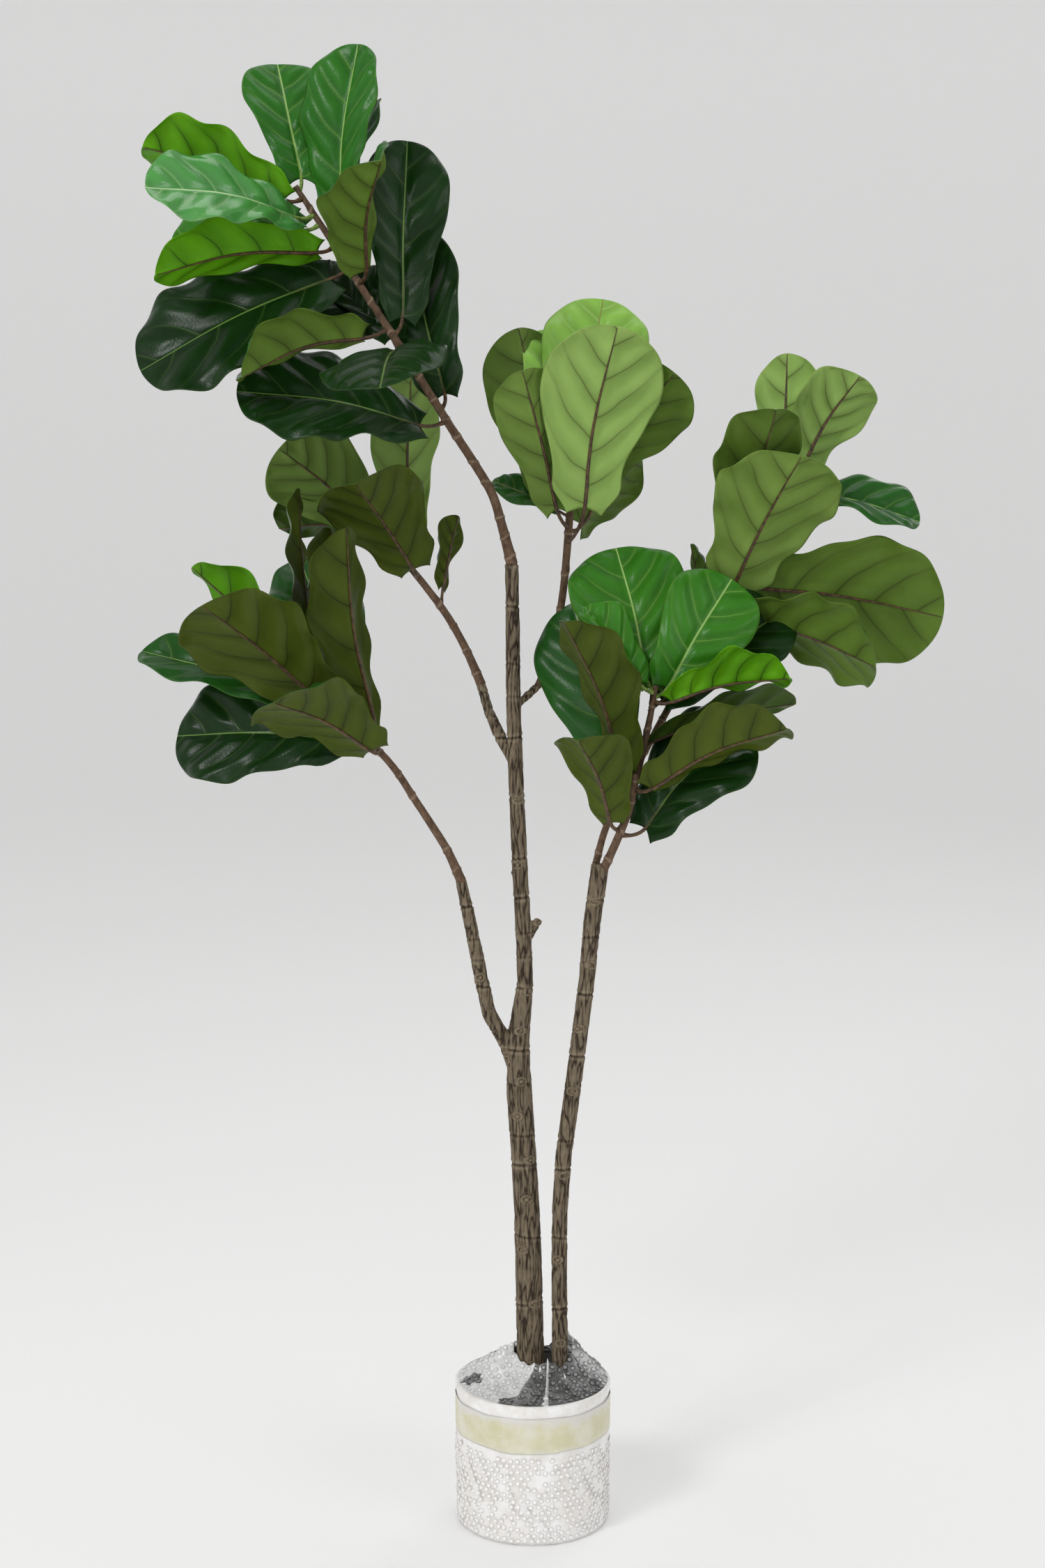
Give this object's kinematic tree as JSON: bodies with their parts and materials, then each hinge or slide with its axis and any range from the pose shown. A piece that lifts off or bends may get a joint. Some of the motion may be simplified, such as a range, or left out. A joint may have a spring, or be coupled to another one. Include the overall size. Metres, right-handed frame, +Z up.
{
  "type": "potted artificial fiddle leaf fig",
  "caption": "Tall artificial fiddle leaf fig: two moulded trunks with plugged-in branches of broad leaves, set in a weighted white pot still wrapped in bubble film.",
  "frame": {"origin": "centre of the pot's foot, on the floor that the pot stands on", "axes": "+Z up along the plant, -Y towards the front that the picture shows, +X to the right in that view"},
  "size_m": [0.9718, 0.3792, 1.8136],
  "materials": {
    "pot_plastic": "smooth white moulded pot",
    "concrete": "set grey concrete",
    "soil": "dark crumbly top dressing of fibre and chips",
    "bubble_film": "milky clear bubble film with small glints",
    "packing_tape": "clear film tape, faintly yellow",
    "trunk_bark": "moulded bark with fissures and eye knots, dry brown grey",
    "branch_bark": "smoother moulded twig, warm brown",
    "mature_leaf": "dark green above with a soft gloss, olive and matt below",
    "young_leaf": "bright yellow green, soft gloss"
  },
  "bodies": {
    "root": {"pot": "pot_plastic", "concrete_plug": "concrete", "soil": "soil", "bubble_wrap": "bubble_film", "tape_band": "packing_tape", "main_trunk": "trunk_bark", "second_trunk": "trunk_bark", "crown_branch": "branch_bark", "upper_left_branch": "branch_bark", "lower_left_branch": "branch_bark", "middle_branch": "branch_bark", "front_branch": "branch_bark", "right_branch": "branch_bark", "crown_leaf_1": "young_leaf", "crown_leaf_2": "young_leaf", "crown_leaf_3": "young_leaf", "crown_leaf_4": "young_leaf", "crown_leaf_5": "mature_leaf", "crown_leaf_6": "mature_leaf", "crown_leaf_7": "mature_leaf", "crown_leaf_8": "mature_leaf", "crown_leaf_9": "mature_leaf", "crown_leaf_10": "mature_leaf", "crown_leaf_11": "mature_leaf", "crown_leaf_12": "mature_leaf", "crown_leaf_13": "mature_leaf", "upper_left_leaf_1": "mature_leaf", "upper_left_leaf_2": "mature_leaf", "upper_left_leaf_3": "mature_leaf", "upper_left_leaf_4": "mature_leaf", "lower_left_leaf_1": "mature_leaf", "lower_left_leaf_2": "mature_leaf", "lower_left_leaf_3": "mature_leaf", "lower_left_leaf_4": "mature_leaf", "lower_left_leaf_5": "mature_leaf", "lower_left_leaf_6": "young_leaf", "lower_left_leaf_7": "mature_leaf", "lower_left_leaf_8": "mature_leaf", "middle_leaf_1": "mature_leaf", "middle_leaf_2": "mature_leaf", "middle_leaf_3": "mature_leaf", "middle_leaf_4": "mature_leaf", "middle_leaf_5": "mature_leaf", "middle_leaf_6": "mature_leaf", "front_leaf_1": "young_leaf", "front_leaf_2": "young_leaf", "front_leaf_3": "young_leaf", "front_leaf_4": "mature_leaf", "front_leaf_5": "mature_leaf", "front_leaf_6": "young_leaf", "front_leaf_7": "mature_leaf", "front_leaf_8": "mature_leaf", "front_leaf_9": "mature_leaf", "right_leaf_1": "mature_leaf", "right_leaf_2": "mature_leaf", "right_leaf_3": "mature_leaf", "right_leaf_4": "mature_leaf", "right_leaf_5": "mature_leaf", "right_leaf_6": "mature_leaf", "right_leaf_7": "mature_leaf"}
  },
  "joints": []
}
